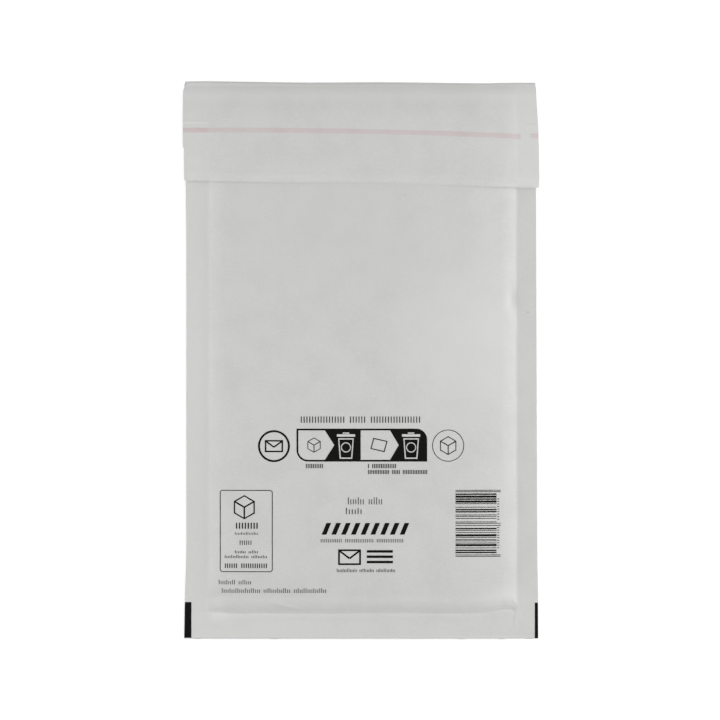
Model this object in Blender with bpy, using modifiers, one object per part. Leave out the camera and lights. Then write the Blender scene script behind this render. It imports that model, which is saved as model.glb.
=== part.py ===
"""Padded envelope: a folded paper outer, a pouch of bubble film inside it, and the strips of its flap.

The envelope lies on its back panel with the flap side up. X runs across it, Y from the bottom fold to the
flap's fold, and Z up. The origin is under the middle of the back panel. All sizes are in metres.
"""

import math

import bmesh
import bpy
from mathutils import Matrix, Vector

# Outline
WIDTH = 0.140  # across the cut sides, where the envelope is flat
HEIGHT = 0.220  # from the bottom fold to the flap's fold
MOUTH_DROP = 0.0166  # the front panel ends this far below the flap's fold
FLAP_LENGTH = 0.0402  # at the middle of the flap
FLAP_SKEW = 0.0022  # the flap is this much longer on the right than on the left
PULL_IN = 0.0009  # the padding draws each side of the body in by this much
PULL_IN_RUN = 0.030  # the sides reach it over this length

# Seals
SEAL_LEFT = 0.0095
SEAL_RIGHT = 0.0085
SEAL_BOTTOM = 0.0114
RISE = 0.018  # the padding reaches its full thickness this far in from a seal

# Sheets
PAPER = 0.0002
FILM = 0.00025
BUBBLE_PITCH = 0.0120
BUBBLE_HEIGHT = 0.0020  # to the crown of its dome
BUBBLE_DOME = 0.0005  # the crown stands this far over the shoulder
BUBBLE_TAPER = 0.0016  # the shoulder is this much smaller than the cell, all round
POCKET = 0.0005  # the empty space between the two bubble walls
WELD_BITE = 0.0001  # each wall of film melts this far into the other at a seal
FILM_SHRINK = 0.0003  # the hot knife draws the film back from the paper's cut edge by this much
CLEARANCE = 0.0003  # between sheets that lie on each other

# Flap and its strips, which follow each other up from the lip
FOLD_DEPTH = 0.0016  # the rounded fold takes up this much of the height
FLAP_REST = 0.0008  # the flap comes to its full height this far above the mouth
LIP = 0.0035  # the last stretch of the flap, which dips to the front panel
LIP_TO_LINER = 0.0017
LINER_WIDTH = 0.0120
LINER_THICKNESS = 0.0001
ADHESIVE_WIDTH = 0.0090
ADHESIVE_THICKNESS = 0.0002
LINER_TO_TAPE = 0.0021
TAPE_WIDTH = 0.0020
TAPE_THICKNESS = 0.0001

# Fineness of the curved sheets
RISE_STEPS = 5
FOLD_STEPS = 8
PANEL_STEPS = 5
FLAP_STEPS = 2
LIP_STEPS = 3

# Honeycomb of the film
ROWS_PER_CORNER = 1.5  # rows of six-sided cells stand one and a half corner lengths apart
CORNERS_PER_PITCH = math.sqrt(3)  # and their columns the root of three
WELD_SHARE = 0.01  # of a cell, within which the corners of neighbours are one
WHOLE_CELL = 0.98  # a cell with less of its area than this has been cut

SEAM_LEFT = SEAL_LEFT - WIDTH / 2
SEAM_RIGHT = WIDTH / 2 - SEAL_RIGHT
MOUTH = HEIGHT - MOUTH_DROP
PAD = BUBBLE_HEIGHT + POCKET / 2  # how far the padding lifts each panel off the seals' plane
LINING_TO_PAPER = CLEARANCE + PAPER / 2
MIDDLE = FILM + PAD + CLEARANCE + PAPER  # height of the seals' plane over the surface it rests on
STRIPS = CLEARANCE + LINER_THICKNESS + CLEARANCE + ADHESIVE_THICKNESS + CLEARANCE  # room under the flap
LINER_PLACE = FLAP_LENGTH - LIP - LIP_TO_LINER - LINER_WIDTH / 2  # its middle, from the flap's fold
TAPE_PLACE = LINER_PLACE - LINER_WIDTH / 2 - LINER_TO_TAPE - TAPE_WIDTH / 2


def clear_scene():
    for found in list(bpy.data.objects):
        bpy.data.objects.remove(found, do_unlink=True)


def material(name, colour, roughness, transmission=0.0):
    made = bpy.data.materials.new(name)
    made.use_nodes = True
    shader = made.node_tree.nodes["Principled BSDF"]
    shader.inputs["Base Color"].default_value = (*colour, 1.0)
    shader.inputs["Roughness"].default_value = roughness
    shader.inputs["Metallic"].default_value = 0.0
    shader.inputs["Transmission Weight"].default_value = transmission
    return made


def add_object(name, bm, finish, collection):
    """Turns a finished bmesh, drawn from the bottom fold up, into an object centred on the origin."""
    bmesh.ops.translate(bm, verts=bm.verts, vec=(0, -HEIGHT / 2, 0))
    mesh = bpy.data.meshes.new(name)
    bm.to_mesh(mesh)
    bm.free()
    mesh.materials.append(finish)
    made = bpy.data.objects.new(name, mesh)
    collection.objects.link(made)
    return made


def thicken(piece, thickness):
    """Gives an open sheet its thickness, half to each side."""
    solidify = piece.modifiers.new("Thickness", "SOLIDIFY")
    solidify.thickness = thickness
    solidify.offset = 0.0
    piece.data.shade_smooth()


def ease(distance, run):
    """From 0 at the start to 1 at the end of a run, steep at first and level at the end."""
    return math.sin(math.pi / 2 * min(max(distance / run, 0.0), 1.0))


def smooth_step(distance, run):
    share = min(max(distance / run, 0.0), 1.0)
    return share * share * (3 - 2 * share)


def side_loft(x):
    """Share of the full padding at this distance from the side seams."""
    return ease(min(x - SEAM_LEFT, SEAM_RIGHT - x), RISE)


def loft(x, y):
    return side_loft(x) * ease(y - SEAL_BOTTOM, RISE)


def drawn_in(x, y):
    """The place across the body of a point of the flat sheet, once the padding has drawn the sides in."""
    pull = PULL_IN * ease(y, PULL_IN_RUN) * ease(HEIGHT - y, PULL_IN_RUN)
    return x * (1 - pull / (WIDTH / 2))


def panel_lift(x, y):
    """Distance of a panel's paper from the seals' plane."""
    return FILM + PAD * loft(x, y) + LINING_TO_PAPER


def fold_span(x):
    """Distance at the flap's fold from the back panel to the flap, round the back wall of the lining."""
    return FILM + BUBBLE_HEIGHT * side_loft(x) + 2 * LINING_TO_PAPER


def flap_length(x):
    return FLAP_LENGTH + FLAP_SKEW * x / WIDTH


def flap_y(x, distance):
    """Height up the envelope of a point this far along the flap, counted at the flap's middle."""
    return HEIGHT - distance * flap_length(x) / FLAP_LENGTH


def flap_lift(x, distance):
    """Distance of the flap's paper from the seals' plane."""
    y = flap_y(x, distance)
    at_fold = fold_span(x) - panel_lift(x, HEIGHT)
    over_front = panel_lift(x, min(y, MOUTH)) + PAPER + STRIPS
    lip = (STRIPS - CLEARANCE) * smooth_step(distance - (FLAP_LENGTH - LIP), LIP)
    climb = smooth_step(distance - FOLD_DEPTH, MOUTH_DROP - FLAP_REST - FOLD_DEPTH)
    return at_fold + (over_front - at_fold) * climb - lip


def steps(first, last, count):
    return [first + (last - first) * k / count for k in range(count + 1)]


def columns():
    """Places across the flat sheet, close together where the padding rises from the side seams."""
    left = steps(SEAM_LEFT, SEAM_LEFT + RISE, RISE_STEPS)
    right = steps(SEAM_RIGHT - RISE, SEAM_RIGHT, RISE_STEPS)
    return [-WIDTH / 2] + left + [(SEAM_LEFT + SEAM_RIGHT) / 2] + right + [WIDTH / 2]


def panel_rows(top):
    """Heights up a panel, from the bottom seal's own fold to its top."""
    rise = steps(SEAL_BOTTOM, SEAL_BOTTOM + RISE, RISE_STEPS)
    return rise + steps(SEAL_BOTTOM + RISE, top, PANEL_STEPS)[1:]


def front_row(y):
    return lambda x: (drawn_in(x, y), y, MIDDLE + panel_lift(x, y))


def back_row(y):
    return lambda x: (drawn_in(x, y), y, MIDDLE - panel_lift(x, y))


def bottom_fold_row(turn):
    """A row of the half turn that joins the two panels below the bottom seal."""
    radius = FILM + LINING_TO_PAPER
    y = PAPER / 2 + radius * (1 - math.sin(turn))
    return lambda x: (drawn_in(x, y), y, MIDDLE + radius * math.cos(turn))


def flap_fold_row(turn):
    """A row of the half turn from the back panel to the flap."""
    y = HEIGHT - FOLD_DEPTH + (FOLD_DEPTH - PAPER / 2) * math.sin(turn)

    def place(x):
        radius = fold_span(x) / 2
        centre = MIDDLE - panel_lift(x, HEIGHT) + radius
        return (drawn_in(x, y), y, centre - radius * math.cos(turn))

    return place


def flap_row(distance):
    return lambda x: (x, flap_y(x, distance), MIDDLE + flap_lift(x, distance))


def sheet_rows():
    """Every row of the outer paper, from the front panel's mouth edge round to the flap's free edge."""
    half_turn = steps(0.0, math.pi, FOLD_STEPS)
    climb = steps(FOLD_DEPTH, MOUTH_DROP - FLAP_REST, RISE_STEPS)
    flat = steps(MOUTH_DROP - FLAP_REST, FLAP_LENGTH - LIP, FLAP_STEPS)
    lip = steps(FLAP_LENGTH - LIP, FLAP_LENGTH, LIP_STEPS)
    rows = [front_row(y) for y in reversed(panel_rows(MOUTH))]
    rows += [bottom_fold_row(turn) for turn in half_turn]
    rows += [back_row(y) for y in panel_rows(HEIGHT - FOLD_DEPTH)]
    rows += [flap_fold_row(turn) for turn in half_turn[1:-1]]
    rows += [flap_row(distance) for distance in climb + flat[1:] + lip[1:]]
    return rows


def lay_grid(bm, across, rows):
    """Makes a flat grid and moves each of its points to where its row puts it."""
    last_column = len(across) - 1
    last_row = len(rows) - 1
    bmesh.ops.create_grid(bm, x_segments=last_column, y_segments=last_row, size=0.5)
    for vert in bm.verts:
        column = round((vert.co.x + 0.5) * last_column)
        row = round((vert.co.y + 0.5) * last_row)
        vert.co = rows[row](across[column])


def outer_paper(finish, collection):
    """One sheet of paper: down the front from the mouth, round the bottom, up the back and over as the flap."""
    bm = bmesh.new()
    lay_grid(bm, columns(), sheet_rows())
    bmesh.ops.recalc_face_normals(bm, faces=bm.faces)
    thicken(add_object("outer_paper", bm, finish, collection), PAPER)


def flap_strip(name, width, thickness, place, drop, finish, collection):
    """A strip laid along the flap, under it, with its middle the given drop below the flap's paper."""

    def row(distance):
        return lambda x: (x, flap_y(x, distance), MIDDLE + flap_lift(x, distance) - drop)

    bm = bmesh.new()
    lay_grid(bm, columns(), [row(d) for d in steps(place - width / 2, place + width / 2, FLAP_STEPS)])
    thicken(add_object(name, bm, finish, collection), thickness)


def trim(bm, place, direction, clears):
    """Cuts the flat film along a plane, and clears away what lies beyond it if asked."""
    cut = bmesh.ops.bisect_plane(
        bm,
        geom=bm.verts[:] + bm.edges[:] + bm.faces[:],
        dist=CLEARANCE / 2,
        plane_co=place,
        plane_no=direction,
        clear_outer=clears,
    )
    for found in cut["geom_cut"]:
        if isinstance(found, bmesh.types.BMVert):
            found.co -= Vector(direction) * (found.co - Vector(place)).dot(Vector(direction))


def honeycomb(bm, top):
    """Fills the plan of the film with six-sided cells, cut at its edges and scored along the seals.

    The cells are fitted to the pouch: a whole number across it and a whole number of rows up to the mouth,
    so that every seal runs through corners of the cells.
    """
    across = round((SEAM_RIGHT - SEAM_LEFT) / BUBBLE_PITCH)
    pitch = (SEAM_RIGHT - SEAM_LEFT) / across
    even_row_pitch = BUBBLE_PITCH * ROWS_PER_CORNER / CORNERS_PER_PITCH
    row_pitch = (MOUTH - SEAL_BOTTOM) / round((MOUTH - SEAL_BOTTOM) / even_row_pitch)
    corner = row_pitch / ROWS_PER_CORNER
    squeeze = pitch / (corner * CORNERS_PER_PITCH)
    spare = 1 + math.ceil(max(SEAL_LEFT, SEAL_RIGHT) / pitch)
    rows_below = 1 + math.ceil(SEAL_BOTTOM / row_pitch)
    rows_above = 1 + math.ceil((top - SEAL_BOTTOM) / row_pitch)
    for row in range(-rows_below, rows_above):
        for column in range(-spare, across + spare):
            x = SEAM_LEFT + pitch * (column + (1 - row % 2 / 2))
            y = SEAL_BOTTOM + corner + row_pitch * row
            fit = Matrix.Translation((x, y, 0)) @ Matrix.Diagonal((squeeze, 1, 1, 1))
            bmesh.ops.create_circle(bm, cap_ends=True, segments=6, radius=corner, matrix=fit)
    bmesh.ops.remove_doubles(bm, verts=bm.verts, dist=pitch * WELD_SHARE)
    edge = WIDTH / 2 - PULL_IN - FILM_SHRINK
    trim(bm, (-edge, 0, 0), (-1, 0, 0), clears=True)
    trim(bm, (edge, 0, 0), (1, 0, 0), clears=True)
    trim(bm, (0, PAPER + CLEARANCE, 0), (0, -1, 0), clears=True)
    trim(bm, (0, top, 0), (0, 1, 0), clears=True)
    trim(bm, (SEAM_LEFT, 0, 0), (-1, 0, 0), clears=False)
    trim(bm, (SEAM_RIGHT, 0, 0), (1, 0, 0), clears=False)
    trim(bm, (0, SEAL_BOTTOM, 0), (0, -1, 0), clears=False)
    return pitch * row_pitch


def inside_seals(point):
    return SEAM_LEFT < point.x < SEAM_RIGHT and point.y > SEAL_BOTTOM


def blow_bubbles(bm, faces, cell_area):
    """Raises a domed bubble from every whole cell between the seals."""
    whole = [face for face in faces if face.calc_area() > WHOLE_CELL * cell_area]
    whole = [face for face in whole if inside_seals(face.calc_center_median())]
    bmesh.ops.inset_individual(bm, faces=whole, thickness=BUBBLE_TAPER, use_even_offset=True)
    for vert in {vert for face in whole for vert in face.verts}:
        vert.co.z = FILM + BUBBLE_HEIGHT - BUBBLE_DOME
    crowns = bmesh.ops.poke(bm, faces=whole)["verts"]
    for vert in crowns:
        vert.co.z = FILM + BUBBLE_HEIGHT


def film_wall(name, top, side, finish, collection):
    """One wall of bubble film, smooth side out: side is 1 for the front wall and -1 for the back wall."""
    bm = bmesh.new()
    cell_area = honeycomb(bm, top)
    raised = bmesh.ops.extrude_face_region(bm, geom=bm.faces[:])
    lifted = [found for found in raised["geom"] if isinstance(found, bmesh.types.BMVert)]
    bmesh.ops.translate(bm, verts=lifted, vec=(0, 0, FILM))
    level = [found for found in raised["geom"] if isinstance(found, bmesh.types.BMFace)]
    blow_bubbles(bm, level, cell_area)
    for vert in bm.verts:
        x, y, height = vert.co
        share = loft(x, y)
        film = min(height, FILM) / FILM * (FILM + WELD_BITE * (1 - share))
        bubble = max(height - FILM, 0.0) * share * share
        vert.co.z = MIDDLE + side * (FILM + PAD * share - film - bubble)
    bmesh.ops.recalc_face_normals(bm, faces=bm.faces)
    return add_object(name, bm, finish, collection)


def bubble_lining(finish, collection, cutters):
    """A front and a back wall of bubble film, welded to each other along both sides and the bottom."""
    lining = film_wall("bubble_lining", HEIGHT - FOLD_DEPTH - CLEARANCE, -1, finish, collection)
    front = film_wall("lining_front_wall", MOUTH, 1, finish, cutters)
    front.hide_render = True
    front.display_type = "WIRE"
    weld = lining.modifiers.new("Weld to the front wall", "BOOLEAN")
    weld.operation = "UNION"
    weld.solver = "EXACT"
    weld.object = front


def main():
    clear_scene()
    collection = bpy.data.collections.new("padded_envelope")
    cutters = bpy.data.collections.new("cutters")
    for made in (collection, cutters):
        bpy.context.scene.collection.children.link(made)

    white_paper = material("white_paper", (0.60, 0.60, 0.585), 0.8)
    clear_film = material("clear_bubble_film", (0.85, 0.87, 0.88), 0.25, 0.6)
    pink_tape = material("pink_tear_tape", (0.75, 0.16, 0.22), 0.35)
    pale_adhesive = material("pale_adhesive", (0.78, 0.72, 0.52), 0.3)
    liner_paper = material("glossy_liner_paper", (0.80, 0.82, 0.84), 0.3)

    outer_paper(white_paper, collection)
    bubble_lining(clear_film, collection, cutters)
    tape_drop = PAPER / 2 + CLEARANCE + TAPE_THICKNESS / 2
    flap_strip("tear_tape", TAPE_WIDTH, TAPE_THICKNESS, TAPE_PLACE, tape_drop, pink_tape, collection)
    adhesive_drop = PAPER / 2 + CLEARANCE + ADHESIVE_THICKNESS / 2
    flap_strip(
        "adhesive_strip",
        ADHESIVE_WIDTH,
        ADHESIVE_THICKNESS,
        LINER_PLACE,
        adhesive_drop,
        pale_adhesive,
        collection,
    )
    liner_drop = adhesive_drop + ADHESIVE_THICKNESS / 2 + CLEARANCE + LINER_THICKNESS / 2
    flap_strip(
        "release_liner",
        LINER_WIDTH,
        LINER_THICKNESS,
        LINER_PLACE,
        liner_drop,
        liner_paper,
        collection,
    )


main()
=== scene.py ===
# %% [markdown]
# # A padded envelope
#
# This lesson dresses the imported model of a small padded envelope. The real thing is one sheet of white
# paper, folded at the bottom and again at the flap, with a pouch of bubble film welded inside it. It lies
# on its back panel with the flap closed over its mouth but not stuck down. All lengths are in metres.
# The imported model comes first, because every new piece has to lie where its solid does.

import math

import bmesh
import bpy
from mathutils import Matrix, Vector, noise


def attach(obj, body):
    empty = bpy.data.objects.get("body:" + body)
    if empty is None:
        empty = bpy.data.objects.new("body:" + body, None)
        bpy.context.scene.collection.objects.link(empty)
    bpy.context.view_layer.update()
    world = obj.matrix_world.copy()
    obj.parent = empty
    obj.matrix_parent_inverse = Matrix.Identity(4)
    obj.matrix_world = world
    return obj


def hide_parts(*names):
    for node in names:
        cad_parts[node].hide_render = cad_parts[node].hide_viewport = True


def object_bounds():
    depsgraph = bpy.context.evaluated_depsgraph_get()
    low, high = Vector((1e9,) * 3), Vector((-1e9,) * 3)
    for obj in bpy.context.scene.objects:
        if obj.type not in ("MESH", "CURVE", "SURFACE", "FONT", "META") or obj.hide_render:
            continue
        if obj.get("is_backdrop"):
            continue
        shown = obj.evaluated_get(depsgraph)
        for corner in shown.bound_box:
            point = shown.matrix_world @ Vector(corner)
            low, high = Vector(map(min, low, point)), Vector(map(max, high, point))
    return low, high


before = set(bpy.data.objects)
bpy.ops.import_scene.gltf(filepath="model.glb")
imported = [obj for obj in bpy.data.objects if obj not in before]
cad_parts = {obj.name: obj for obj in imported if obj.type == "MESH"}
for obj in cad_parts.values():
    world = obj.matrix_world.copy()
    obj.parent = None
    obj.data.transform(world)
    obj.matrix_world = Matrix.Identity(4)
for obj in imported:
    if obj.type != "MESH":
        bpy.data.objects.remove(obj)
cad_box = [list(corner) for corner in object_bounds()]
print("nodes:", sorted(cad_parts))

# %% [markdown]
# ## The camera
#
# The photograph was taken from straight above, from far enough away that the envelope shows no
# perspective. A long lens over a metre away gives that look. The picture's middle falls half a
# millimetre beside the envelope's own middle, so the camera is moved there instead of being shifted.

# %% Place the camera
FIELD = 0.2843  # what the picture takes in, across and up
LENS = 135.0  # focal length, in millimetres
SENSOR = 36.0
FOCUS_HEIGHT = 0.0045  # the level at which the field is measured
CAMERA_ASIDE = -0.00047
CAMERA_UP = 0.00016

lens_data = bpy.data.cameras.new("overhead_camera")
lens_data.lens = LENS
lens_data.sensor_width = SENSOR
lens_data.clip_start = 0.05
camera = bpy.data.objects.new("overhead_camera", lens_data)
bpy.context.scene.collection.objects.link(camera)
camera.location = (CAMERA_ASIDE, CAMERA_UP, FOCUS_HEIGHT + FIELD * LENS / SENSOR)
bpy.context.scene.camera = camera
print("camera height:", round(camera.location.z, 3))

# %% [markdown]
# ## The envelope's measures
#
# These are the same values as in the solids, so that the fine sheets made here lie on the coarse ones.
# Heights up the envelope are counted from the bottom fold, and places across it from the middle.

# %% Name the measures
WIDTH = 0.140
HEIGHT = 0.220
MOUTH_DROP = 0.0166
FLAP_LENGTH = 0.0402
FLAP_SKEW = 0.0022
PULL_IN = 0.0009
PULL_IN_RUN = 0.036
SEAL_LEFT = 0.0095
SEAL_RIGHT = 0.0085
SEAL_BOTTOM = 0.0114
PAPER = 0.0002
FILM = 0.00025
BUBBLE_HEIGHT = 0.0020
POCKET = 0.0005
CLEARANCE = 0.0003
FOLD_DEPTH = 0.0016
FLAP_REST = 0.0008
LIP = 0.0035
STRIPS = 0.0012  # room for the strips between the flap and the front panel
RISE = 0.018

SEAM_LEFT = SEAL_LEFT - WIDTH / 2
SEAM_RIGHT = WIDTH / 2 - SEAL_RIGHT
MOUTH = HEIGHT - MOUTH_DROP
PAD = BUBBLE_HEIGHT + POCKET / 2
LINING_TO_PAPER = CLEARANCE + PAPER / 2
MIDDLE = FILM + PAD + CLEARANCE + PAPER  # height of the seals' plane over the table
print("pouch from", round(SEAM_LEFT, 4), "to", round(SEAM_RIGHT, 4), "and up to", round(MOUTH, 4))


# %% [markdown]
# ## How the padding lifts the paper
#
# Between its seals the envelope is a flat cushion. The paper leaves each seal steeply, over a few
# millimetres, and then goes on rising gently over the next two centimetres. Two quarter waves added
# together give that profile. The same curves shape the front, the back, the folds and the flap.

# %% Describe the cushion
STEEP_SHARE = 0.30  # of the rise, which is over within the steep run
STEEP_RUN = 0.0065
GENTLE_RUN = 0.022
BOTTOM_STEEP_SHARE = 0.31
BOTTOM_STEEP_RUN = 0.0042


def ease(distance, run):
    """From 0 at the start to 1 at the end of a run, steep at first and level at the end."""
    return math.sin(math.pi / 2 * min(max(distance / run, 0.0), 1.0))


def smooth_step(distance, run):
    share = min(max(distance / run, 0.0), 1.0)
    return share * share * (3 - 2 * share)


def bump(distance, reach):
    """A round hill, 1 at its middle and fading out over its reach."""
    return math.exp(-((distance / reach) ** 2))


def steps(first, last, count):
    return [first + (last - first) * k / count for k in range(count + 1)]


def side_loft(x):
    inward = min(x - SEAM_LEFT, SEAM_RIGHT - x)
    return STEEP_SHARE * ease(inward, STEEP_RUN) + (1 - STEEP_SHARE) * ease(inward, GENTLE_RUN)


def loft(x, y):
    """Share of the full padding under this point of a panel."""
    up = y - SEAL_BOTTOM
    steep = BOTTOM_STEEP_SHARE * ease(up, BOTTOM_STEEP_RUN)
    return side_loft(x) * (steep + (1 - BOTTOM_STEEP_SHARE) * ease(up, GENTLE_RUN))


def panel_lift(x, y):
    """Distance of a panel's paper from the seals' plane."""
    return FILM + PAD * loft(x, y) + LINING_TO_PAPER


print("full lift:", round(panel_lift(0.0, HEIGHT / 2), 5))


# %% [markdown]
# ## The outline
#
# Padding shortens the front and the back, so it draws the cut sides in by almost a millimetre between
# the corners, and a little more at the top right. The flap keeps almost its full width, so it stands
# proud of the body on both sides, and its fold slopes by half a millimetre.

# %% Describe the outline
PULL_IN_TOP = 0.075  # the left side comes out again over this length below the flap's fold
FLAP_LEFT_BULGE = 0.00035  # the flap stands this far past the sheet's nominal left edge
FLAP_LEFT_CORNER = 0.0010  # and its corner is rounded off by this much
FLAP_LEFT_STEP = 0.0005  # below the tape it steps in by this much
FLAP_RIGHT_BULGE = 0.0002  # its right edge would stand this far out, but for the next two
FLAP_RIGHT_IN = 0.0004  # two hollows of this depth draw its right edge in above the strips
FLAP_RIGHT_START = 0.0012  # and at its fold that edge is this far in
FOLD_TILT = 0.0006  # the fold's left end is this much higher than its right end


def drawn_in(x, y):
    """The place across the body of a point of the flat sheet, once the padding has drawn the sides in."""
    from_bottom = smooth_step(y - 0.002, PULL_IN_RUN)
    pull = PULL_IN * from_bottom * ease(HEIGHT - y, PULL_IN_TOP)
    if x > 0:
        pull = PULL_IN * from_bottom * (0.35 + 0.85 * y / HEIGHT)
    return x - math.copysign(pull * abs(x / (WIDTH / 2)) ** 8, x)


def flap_across(x, distance):
    """The place across the flap of a point of the flat sheet, this far down from the fold."""
    side = x / (WIDTH / 2)
    if side < 0:
        out = FLAP_LEFT_BULGE - (FLAP_LEFT_CORNER + FLAP_LEFT_BULGE) * bump(distance, 0.0020)
        out -= FLAP_LEFT_STEP * smooth_step(distance - 0.026, 0.002)
    else:
        out = FLAP_RIGHT_BULGE - FLAP_RIGHT_START * (1 - ease(distance, 0.014))
        out -= FLAP_RIGHT_IN * (bump(distance - 0.014, 0.012) + bump(distance - 0.009, 0.006))
    return x + side * abs(side) ** 3 * out


def fold_height(x):
    """Height of the flap's fold, which isn't quite straight."""
    return HEIGHT - FOLD_TILT * x / WIDTH + 0.00012 * math.sin(x * 95 + 0.6)


print("sides at half height:", round(drawn_in(-0.07, 0.11), 4), round(drawn_in(0.07, 0.11), 4))

# %% [markdown]
# ## Creases, dents and folds of use
#
# A sheet that has been handled has marks that aren't in its pattern: the bottom seal's crease climbs at
# its right end, a small wrinkle crosses it, the right seam has a dent, and the corners pucker. Each mark
# is a small hill or hollow that is added to the height of the front panel, at its own place.

# %% Describe the marks
CREASE_DEPTH = 0.00046
CREASE_DROP = 0.0010  # the crease lies this much below the seal's upper edge
CREASE_CLIMB = 0.0016  # how much higher the crease is near its right end
CREASE_CLIMB_PLACE = 0.0570
CREASE_LEFT_CLIMB = 0.0007  # and how much higher it is at its left end
CREASE_REACH = 0.0008
SEAM_DENT_PLACE = 0.1335  # height of the dent in the right seam


def crease_shift(x):
    """How far the bottom crease stands above its nominal height."""
    climb = CREASE_CLIMB * bump(x - CREASE_CLIMB_PLACE, 0.0075)
    climb += CREASE_LEFT_CLIMB * bump(x + 0.0600, 0.0065)
    return climb + 0.00012 * math.sin(x * 120) - 0.0002 * bump(x + 0.047, 0.006)


def follow_crease(y):
    """Share of the crease's wandering that is felt at this height: all beside it, none far away."""
    return ease(y, SEAL_BOTTOM) if y < SEAL_BOTTOM else 1 - smooth_step(y - SEAL_BOTTOM, 0.014)


def between_seams(x):
    return smooth_step(x - SEAM_LEFT, 0.003) * smooth_step(SEAM_RIGHT - x, 0.003)


def crease_hollow(x, y):
    """Depth of the crease at a point."""
    return CREASE_DEPTH * bump(y - SEAL_BOTTOM + CREASE_DROP, CREASE_REACH) * between_seams(x)


def seam_shift(y):
    """How far the right seam wanders from its straight line."""
    dent = -0.00015 * bump(y - SEAM_DENT_PLACE, 0.0042)
    return 0.0002 + dent + 0.00008 * math.sin(y * 160) + 0.00005 * math.sin(y * 410 + 1)


def ridge(x, y, start, end, height, reach):
    """A straight small wrinkle from start to end, fading at both."""
    run = Vector(end) - Vector(start)
    from_start = Vector((x, y)) - Vector(start)
    along = from_start.dot(run) / run.length_squared
    aside = abs(from_start.cross(run)) / run.length
    fade = smooth_step(along + 0.25, 0.35) * smooth_step(1.25 - along, 0.35)
    return height * bump(aside, reach) * fade


def front_marks(x, y):
    """Small hills and hollows of the front panel."""
    crease = -crease_hollow(x, y)
    roll = 0.00014 * bump(y - SEAL_BOTTOM + 0.0027, 0.0009) * between_seams(x)
    puff = 0.00050 * smooth_step(x - SEAM_LEFT, 0.004) * bump(x + 0.056, 0.010) * bump(y - 0.0078, 0.0026)
    wrinkle = ridge(x, y, (-0.0340, 0.0140), (-0.0255, 0.0118), 0.00032, 0.0006)
    corner = ridge(x, y, (0.0565, 0.0138), (0.0604, 0.0148), 0.00012, 0.0020)
    corner += ridge(x, y, (0.0598, 0.0138), (0.0615, 0.0120), 0.00008, 0.0005)
    pucker = ridge(x, y, (0.0606, 0.0045), (0.0612, 0.0105), 0.00014, 0.0005)
    pucker += ridge(x, y, (0.0622, 0.0060), (0.0624, 0.0100), 0.00010, 0.0004)
    dent = -0.00028 * bump(x - 0.0595, 0.0020) * bump(y - SEAM_DENT_PLACE, 0.0045)
    dent += 0.00010 * bump(x - 0.0588, 0.002) * bump(y - 0.1265, 0.0030)
    waves = 0.00021 * loft(x, y) * noise.noise(Vector((x, y, 0.0)) * 42)
    waves += 0.00005 * noise.noise(Vector((x, y, 3.0)) * 130)
    return crease + roll + puff + wrinkle + corner + pucker + dent + waves


print("crease climbs by", round(crease_shift(CREASE_CLIMB_PLACE), 5))


# %% [markdown]
# ## From the flat sheet to the folded one
#
# The paper is one sheet. Each row of the flat sheet is sent to its place: down the front, round the
# bottom fold, up the back, round the flap's fold and down the flap. A row is a function from the place
# across the sheet to a point in space, so the rows can be as close together as each part needs.

# %% Write the rows of the folded sheet
BOTTOM_LUMPS = (-0.0650, -0.0345, 0.0398, 0.0556, 0.0664)  # their places across the bottom fold


def front_place(x, y):
    """Where a point of the flat front panel lies on the finished envelope."""
    near_seam = 1 - smooth_step(abs(x - SEAM_RIGHT), 0.006)
    across = drawn_in(x, y) + seam_shift(y) * near_seam
    height = MIDDLE + panel_lift(x, y) + front_marks(x, y)
    return Vector((across, y + crease_shift(x) * follow_crease(y), height))


def back_place(x, y):
    waves = 0.0001 * loft(x, y) * (noise.noise(Vector((x, y, 7.0)) * 40) + 0.6)
    return Vector((drawn_in(x, y), y, MIDDLE - panel_lift(x, y) + waves))


def bottom_fold_place(x, turn):
    """The bottom fold, with a few tiny lumps where the folded paper is crushed."""
    radius = FILM + LINING_TO_PAPER
    lumps = sum(0.00022 * bump(x - place, 0.0013) for place in BOTTOM_LUMPS)
    y = PAPER / 2 + radius * (1 - math.sin(turn)) - lumps * math.sin(turn)
    return Vector((drawn_in(x, y), y, MIDDLE + radius * math.cos(turn)))


def fold_span(x):
    """Distance at the flap's fold from the back panel to the flap, round the back wall of the lining."""
    return FILM + BUBBLE_HEIGHT * side_loft(x) + 2 * LINING_TO_PAPER


def flap_fold_place(x, turn):
    radius = fold_span(x) / 2
    depth = FOLD_DEPTH + fold_height(x) - HEIGHT
    y = HEIGHT - FOLD_DEPTH + (depth - PAPER / 2) * math.sin(turn)
    centre = MIDDLE - panel_lift(x, HEIGHT) + radius
    across = drawn_in(x, y) + (flap_across(x, 0.0) - drawn_in(x, y)) * smooth_step(turn, math.pi)
    return Vector((across, y, centre - radius * math.cos(turn)))


FLAP_STIFFNESS = 0.45  # the flap is this much flatter across than the panel under it
LIP_GAP = 0.00006  # the flap's lip almost touches the front panel
LIP_DROOP = 0.0004  # the lip's right end hangs this much lower
ROLL_SHARE = 0.36  # of the flap's climb, which the rolled fold takes up
ROLL_RUN = 0.0038


def flap_loft(x):
    return FLAP_STIFFNESS + (1 - FLAP_STIFFNESS) * side_loft(x)


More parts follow.
